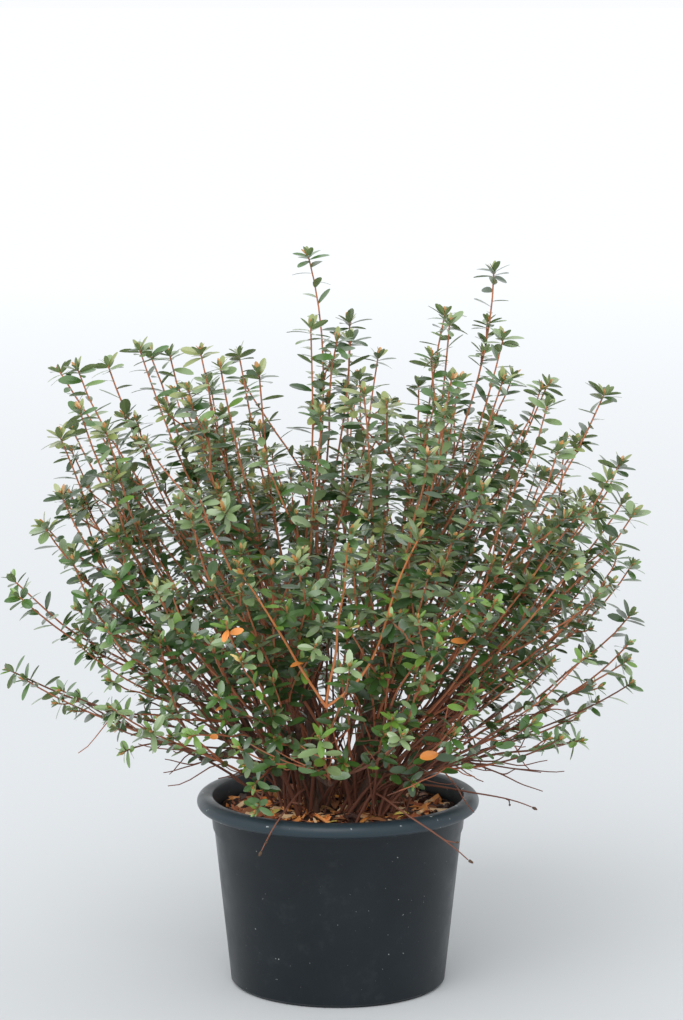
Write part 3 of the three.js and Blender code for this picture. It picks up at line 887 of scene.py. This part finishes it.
def leaves_on(twig, rng):
    """The leaves of one shoot: a spiral up its length that closes to a rosette at the tip,
    with a few small young leaves in its middle."""
    path = twig.path
    length = length_of(path)
    light = light_at(path[-1].z)
    # Sprays deep inside the crown take the dark tint more often and the grey sheen less: painted
    # shade.
    arm = path[-1] - CROWN_FOOT
    depth = max(0, 1 - arm.length / crown_reach(arm.normalized()))
    weights = (32 + 110 * depth, 38, 26 * (1 - depth))
    own = rng.choices(("leaf_dark", "leaf_mid", "leaf_grey"), weights)[0]
    turn = rng.uniform(0, 2 * math.pi)
    size = between(LEAF.lengths, light) * rng.uniform(*LEAF.sizes)
    if twig.kind in ("long", "front"):
        size *= LEAF.strong
    high = path[-1].z > OLIVE_ABOVE
    places = []

    def add(distance, spread, droop, share, tint, breadth=1):
        nonlocal turn
        turn += GOLDEN_ANGLE + rng.gauss(0, 0.15)
        point, heading = at(path, min(0.995, distance / length))
        axes = leaf_axes(heading, turn, spread, droop, size * share, rng)
        axes[0] *= breadth
        places.append((point, axes, TINT_NAMES.index(tint)))

    distance = length - min(length * 0.85, rng.uniform(*LEAFY[twig.kind]))
    while distance < length - SPIRAL.ends:
        # Leaves far back from the tip and deep in the crown take the dark tint more often: partly
        # older leaves, partly painted shade.
        inner = min(1, (length - distance) / SPIRAL.dark_from + depth)
        tint = rng.choices(
            (own, "leaf_dark", "leaf_mid", "leaf_grey", "leaf_fresh", "leaf_turned"),
            (44, 8 + 84 * inner, 15, 20 - 12 * inner, 22 - 11 * light - 8 * inner, 0.4))[0]
        if tint == "leaf_turned" and high:
            tint = own
        add(distance, SPIRAL.stand + rng.gauss(0, SPIRAL.sway),
            between(SPIRAL.droop, light), rng.uniform(*SPIRAL.sizes), tint)
        distance += between(SPIRAL.spacing, light) * rng.uniform(*SPIRAL.gaps)
    # High in the crown the rosettes take the grey sheen and olive tints more often: painted light.
    ring = rng.choice((own, own, "leaf_grey", "leaf_grey", "leaf_olive") if high else
                      (own, own, "leaf_grey", own, "leaf_fresh"))
    count = rng.choice((6, 7)) if high else rng.choice((4, 5, 6))
    strength = ROSETTE.high if high else ROSETTE.low
    for i in range(count):
        spread = ROSETTE.stand - ROSETTE.closing * i / count + rng.gauss(0, ROSETTE.sway)
        add(length - ROSETTE.root + ROSETTE.step * i, spread, ROSETTE.droop,
            rng.uniform(*ROSETTE.sizes) * strength, ring)
    outer, inner = ("leaf_olive", "leaf_bronze") if high else ("leaf_fresh", "leaf_olive")
    for i in range(YOUNG.count):
        spread = YOUNG.stand - YOUNG.closing * i + rng.gauss(0, YOUNG.sway)
        share = (YOUNG.size - YOUNG.shrinks * i) * rng.uniform(*YOUNG.sizes)
        add(length - YOUNG.root, spread, 0, share * (1 if high else YOUNG.low),
            outer if i < YOUNG.outer else inner, YOUNG.breadth)
    return places


def turn_leaves(mass, places):
    """Gives the turned tints to the leaves nearest to the places where leaves have turned."""
    for azimuth, rise, reach, count, tint in TURNED.get(mass.name, ()):
        spot = CROWN_FOOT + direction(azimuth, rise) * reach
        places.sort(key=lambda place: (place[0] + Vector(place[1][1]) / 2 - spot).length)
        for i in range(count):
            places[i] = (*places[i][:2], TINT_NAMES.index(tint))


def bud_at(root, heading, spread, width, length, rng):
    """A place for a bud or a seed head at a twig's tip."""
    axes = leaf_axes(heading, 0, spread, 0, 1, rng)
    return root, axes * [[width], [length], [width]], 1


def foliage(masses):
    """Each mass's twigs, leaves and buds, one piece of each kind."""
    tints = [principled(name, *values, **COAT) for name, values in LEAF_TINTS.items()]
    skins = [principled(name, *values) for name, values in TWIG_TINTS.items()]
    bud_skin = principled("bud", (0.44, 0.20, 0.07), 0.5)
    leaves = [leaf_shape(*form) for form in LEAF_FORMS]
    bud = bud_shape()
    for i, (name, mass) in enumerate(masses.items()):
        seed = 101 + 37 * i
        rng = random.Random(seed)
        twigs = branched(mass, tips_of(mass, masses, seeded(seed)), rng)
        node = "foliage_" + name
        lines = [line for twig in twigs for line in skinned(twig)]
        piece("twigs_" + name, tubes(node, lines, 1), skins, "young_twig", node)
        places, buds = [], []
        for leafy in [twig for twig in twigs if twig.kind != "bare"]:
            places += leaves_on(leafy, rng)
            tip, heading = at(leafy.path, 1)
            buds.append(bud_at(tip - heading * 0.0005, heading, 4, 0.0030, 0.0065, rng))
        turn_leaves(mass, places)
        rng.shuffle(places)
        parts = [scattered(node, shape, places[k::3]) for k, shape in enumerate(leaves)]
        piece("leaves_" + name, joined(node, parts), tints, "foliage", node)
        piece("buds_" + name, scattered(node, bud, buds), [bud_skin, bud_skin], "bud", node)


# ---- stems and boughs ----
def barked(mesh, depth):
    """Gives a limb the lengthwise ridges and knots of old bark."""
    shape = bmesh.new()
    shape.from_mesh(mesh)
    bmesh.ops.recalc_face_normals(shape, faces=shape.faces[:])
    shape.normal_update()
    for v in shape.verts:
        ridges = noise.fractal(Vector((v.co.x, v.co.y, v.co.z * 0.28)) * 420, 0.7, 2.1, 3)
        knots = noise.noise(v.co * 90)
        v.co += v.normal * (ridges * depth + knots * depth * 1.3)
    shape.to_mesh(mesh)
    shape.free()
    mesh.shade_smooth()
    return mesh


def limbs(masses):
    """The stems and the boughs, each kind one piece."""
    skin = bark()
    lines = []
    for values in STEMS:
        path = stem_path(*values)
        shares = np.linspace(0, 1, len(path))
        flare = STEM.flare * np.exp(-STEM.flare_fades * shares)
        lines.append((path, between(STEM.radii, shares) + flare, 0))
    nodes = [f"stem_{i + 1}" for i in range(len(STEMS))]
    piece("stems", barked(tubes("stems", lines, 6), 0.0005), [skin], "bark", *nodes)
    lines = []
    for mass in masses.values():
        shares = np.linspace(0, 1, len(mass.bough))
        lines.append((mass.bough, between(BOUGH.radii, shares), 0))
    nodes = ["bough_" + name for name in masses]
    piece("boughs", barked(tubes("boughs", lines, 5), 0.00032), [skin], "bark", *nodes)


def bare_twigs():
    """The leafless twigs that hang over the lip, with their side spurs and dry seed heads."""
    rng = random.Random(77)
    lines, heads = [], []
    for values, crest_turn in zip(BARE_TWIGS, CREST_TURNS):
        path = bare_twig_path(*values, crest_turn)
        lines.append((path, np.linspace(*BARE.radii, len(path)), 0))
        for share in BARE.spurs:
            point, heading = at(path, share)
            aside = direction(rng.uniform(0, 360), rng.uniform(-10, 40))
            side = (heading + aside * 0.9).normalized()
            tip = point + side * rng.uniform(*BARE.spur_length)
            spur = sweep(point, heading, tip, side, 5)
            lines.append((spur, np.linspace(*BARE.spur_radii, len(spur)), 0))
            heads.append(bud_at(tip, side, 8, 0.0022, 0.004, rng))
        tip, heading = at(path, 1)
        heads.append(bud_at(tip, heading, 5, 0.003, 0.006, rng))
    skin = principled("bare_twig", (0.20, 0.075, 0.045), 0.65)
    dry = principled("seed_head", (0.10, 0.055, 0.03), 0.8)
    nodes = [f"bare_twig_{i + 1}" for i in range(len(BARE_TWIGS))]
    piece("bare_twigs", tubes("bare_twigs", lines, 1), [skin], "young_twig", *nodes)
    piece("seed_heads", scattered("seed_heads", bud_shape(), heads), [dry, dry], "bark_chip")


# ---- pot and soil ----
def spun(profile, steps):
    """A closed body of revolution from a profile of radius and height."""
    shape = bmesh.new()
    corners = [shape.verts.new((radius, 0, height)) for radius, height in profile]
    edges = [shape.edges.new(pair) for pair in zip(corners, corners[1:])]
    bmesh.ops.spin(shape, geom=corners + edges, axis=(0, 0, 1), cent=(0, 0, 0), steps=steps,
                   angle=2 * math.pi, use_merge=True, use_duplicate=False)
    bmesh.ops.remove_doubles(shape, verts=shape.verts[:], dist=1e-6)
    bmesh.ops.recalc_face_normals(shape, faces=shape.faces[:])
    return shape


def finished(shape, name, sharp=35):
    mesh = bpy.data.meshes.new(name)
    shape.to_mesh(mesh)
    shape.free()
    mesh.polygons.foreach_set("use_smooth", np.ones(len(mesh.polygons), bool))
    mesh.set_sharp_from_angle(angle=math.radians(sharp))
    return mesh


POT = Record(foot=0.095, rim=0.113, wall=0.0025, floor=0.004, lip_height=0.013)


def wall_radius(height):
    return POT.foot + (POT.rim - POT.foot) * height / POT_HIGH.z


def pot():
    """The moulded pot: a tapering wall with a shallow step under its rolled lip."""
    top, half = POT_HIGH.z, POT.lip_height / 2
    roll, step = POT_HIGH.x - half, 0.0012
    profile = [(0, 0.002), (POT.foot - 0.012, 0.002), (POT.foot - 0.009, 0)]
    profile += [(POT.foot - 0.003, 0), (wall_radius(0.003), 0.003)]
    for height in np.linspace(0.02, top - 0.034, 8):
        profile.append((wall_radius(height), height))
    profile += [(wall_radius(top - 0.030) + step, top - 0.030)]
    profile += [(wall_radius(top - POT.lip_height) + step, top - POT.lip_height - 0.0005)]
    for degrees in np.linspace(-90, 90, 13):
        a = math.radians(degrees)
        profile.append((roll + half * math.cos(a), top - half + half * math.sin(a)))
    profile += [(POT.rim + 0.001, top), (POT.rim - 0.0015, top - 0.0012)]
    inner = POT.rim - POT.wall
    profile += [(inner, top - 0.004), (wall_radius(POT.floor) - POT.wall, POT.floor)]
    profile += [(0, POT.floor)]
    piece("pot_shell", finished(spun(profile, 128), "pot_shell"), [pot_plastic()],
          "pot_plastic", "pot")


def soil_height(x, y):
    """The soil's surface: it falls a little towards the wall and is crumbly all over."""
    radius = math.hypot(x, y)
    fall = 0.0045 * max(0, (radius - 0.06) / 0.05) ** 2
    heaps = 0.0024 * noise.fractal(Vector((x * 38, y * 38, 3)), 0.8, 2.0, 3)
    return SOIL_LEVEL - 0.001 - fall + heaps


def soil():
    radius = SOIL_HIGH.x - 0.0005
    profile = [(0, SOIL_LOW.z), (wall_radius(SOIL_LOW.z) - 0.004, SOIL_LOW.z)]
    profile += [(r, SOIL_LEVEL) for r in np.linspace(radius, 0, 56)]
    shape = spun(profile, 144)
    for v in shape.verts:
        if v.co.z > SOIL_LEVEL - 0.01:
            crumbs = 0.0011 * noise.fractal(v.co * 300, 0.8, 2.2, 4)
            v.co.z = soil_height(v.co.x, v.co.y) + crumbs
    piece("soil_fill", finished(shape, "soil_fill", 80), [potting_mix()], "potting_mix", "soil")


def chip_shape():
    """A torn chip of bark, one unit long along +Y."""
    shape = bmesh.new()
    bmesh.ops.create_cube(shape, size=1)
    bmesh.ops.subdivide_edges(shape, edges=shape.edges[:], cuts=1, use_grid_fill=True)
    for v in shape.verts:
        jag = noise.noise_vector(v.co * 2.3 + Vector((5, 1, 2))) * 0.34
        v.co = (v.co + jag) * 0.8
    return arrays_of(shape)


# The litter's tints, and how many of each lie among the rest.
CHIPS = {"dark": ((0.065, 0.026, 0.017), 6), "brown": ((0.42, 0.135, 0.058), 5),
         "orange": ((0.92, 0.370, 0.110), 4), "tan": ((0.95, 0.66, 0.38), 3)}
FALLEN = {"under": ((0.45, 0.24, 0.10), 0), "yellow": ((0.80, 0.66, 0.16), 2),
          "orange": ((0.80, 0.34, 0.08), 5), "brown": ((0.28, 0.11, 0.045), 5),
          "tan": ((0.85, 0.55, 0.28), 2)}
LITTER = Record(radius=0.104, chips=680, leaves=64, tilt=0.42)


def lying(rng, margin, size, lift, tints):
    """A place for a thing that lies on the soil at any turn, tipped a little."""
    r, a = (LITTER.radius - margin) * math.sqrt(rng.random()), rng.uniform(0, 2 * math.pi)
    x, y = r * math.cos(a), r * math.sin(a)
    turn = Quaternion((0, 0, 1), rng.uniform(0, 2 * math.pi))
    tip = Quaternion((rng.gauss(0, 1), rng.gauss(0, 1), 0.01), rng.gauss(0, LITTER.tilt))
    axes = np.array((tip @ turn).to_matrix().transposed()) * np.array(size)[:, None]
    tint = rng.choices(range(len(tints)), [count for _, count in tints.values()])[0]
    return Vector((x, y, soil_height(x, y) + lift)), axes, tint


def litter():
    """Bark chips and fallen leaves on the soil."""
    rng = random.Random(5)
    chips, leaves = [], []
    for _ in range(LITTER.chips):
        long = rng.choice((rng.uniform(0.005, 0.014), rng.uniform(0.012, 0.026)))
        size = (long * rng.uniform(0.16, 0.42), long, long * rng.uniform(0.08, 0.18))
        chips.append(lying(rng, 0.3 * long, size, 0.0008, CHIPS))
    for _ in range(LITTER.leaves):
        long = rng.uniform(0.013, 0.021)
        leaves.append(lying(rng, long, (long, long, long), 0.0028, FALLEN))
    curled = leaf_shape(0.3, 0.3, 0.45)
    for name, slot, shape, places, tints, roughness, sharp in (
            ("bark_chips", "bark_chip", chip_shape(), chips, CHIPS, 0.7, 25),
            ("fallen_leaves", "fallen_leaf", curled, leaves, FALLEN, 0.6, LEAF_SHARP)):
        skins = [principled(f"{slot}_{tint}", colour, roughness)
                 for tint, (colour, _) in tints.items()]
        piece(name, scattered(name, shape, places, sharp), skins, slot)


# ---- stage ----
CAMERA = Record(place=(0.0031, -2.970, 0.867), tilt=8.50, lens=121)
SKY = Record(colour=(0.97, 0.985, 1.0), strength=1.0)
FLOOR = Record(near=(0.595, 0.615, 0.63), far=(0.74, 0.75, 0.765), start=1.4, to=7.5, size=600)
SUN = Record(width=55, energy=1.85, from_top=50, turn=-18)


def pale_floor():
    """A pale floor painted darker round the pot and lighter into the distance: a painted fall of
    light that fades it into the sky.
    """
    material = principled("pale_floor", FLOOR.far, 1.0, Specular_IOR_Level=0.0)
    p = Pattern(material)
    start = FLOOR.start / FLOOR.to
    p.colour(p.ramp(p.distance(FLOOR.to), (start, FLOOR.near), (1, FLOOR.far)))
    return material


def stage():
    """The floor, an even pale sky, a wide soft sun and the camera."""
    bpy.ops.mesh.primitive_plane_add(size=FLOOR.size)
    floor = bpy.context.object
    floor.name = "floor"
    floor.data.materials.append(pale_floor())
    world = bpy.data.worlds.new("pale_sky")
    world.use_nodes = True
    sky = world.node_tree.nodes["Background"].inputs
    sky["Color"].default_value = (*SKY.colour, 1)
    sky["Strength"].default_value = SKY.strength
    bpy.context.scene.world = world
    lamp = bpy.data.lights.new("overcast_sun", "SUN")
    lamp.angle = math.radians(SUN.width)
    lamp.energy = SUN.energy
    light = added("overcast_sun", lamp)
    light.rotation_euler = (math.radians(SUN.from_top), 0, math.radians(SUN.turn))
    camera = added("camera", bpy.data.cameras.new("camera"))
    camera.data.lens = CAMERA.lens
    camera.data.clip_end = 1000
    camera.location = CAMERA.place
    camera.rotation_euler = (math.radians(90 - CAMERA.tilt), 0, 0)
    bpy.context.scene.camera = camera
    bpy.context.scene.view_settings.view_transform = "Standard"


stage()
pot()
soil()
litter()
shrub = laid_out_masses()
limbs(shrub)
bare_twigs()
foliage(shrub)
